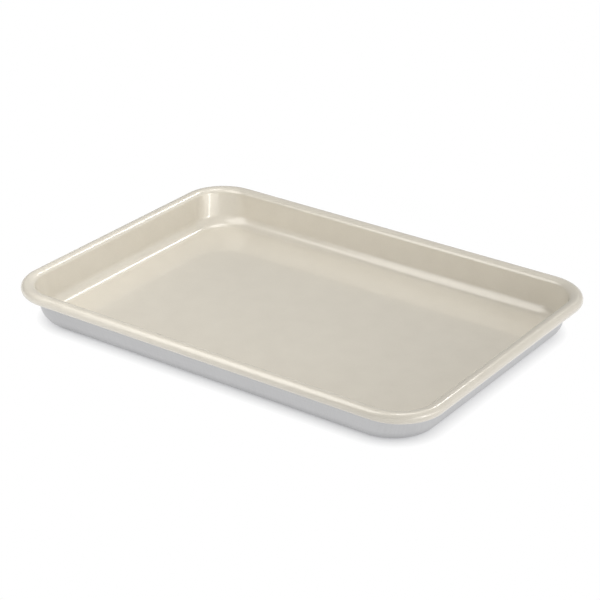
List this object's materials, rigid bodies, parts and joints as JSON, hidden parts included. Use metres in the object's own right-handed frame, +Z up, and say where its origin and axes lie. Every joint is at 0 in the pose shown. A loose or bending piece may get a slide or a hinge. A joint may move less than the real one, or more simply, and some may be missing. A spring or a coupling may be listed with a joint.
{
  "type": "quarter sheet pan",
  "caption": "Shallow rectangular baking tray with tapered walls, rounded corners, a rim rolled round a wire and a champagne non-stick coating inside.",
  "frame": {"origin": "on the surface that the pan stands on, under the middle of the pan", "axes": "+X along the long side, +Y along the short side, +Z up out of the open top"},
  "size_m": [0.33, 0.241, 0.0275],
  "materials": {
    "bare_aluminium": "satin",
    "galvanised_steel": "satin",
    "champagne_coat": "satin"
  },
  "bodies": {
    "root": {"pan_body": "bare_aluminium", "rim_wire": "galvanised_steel", "nonstick_coating": "champagne_coat"}
  },
  "joints": []
}
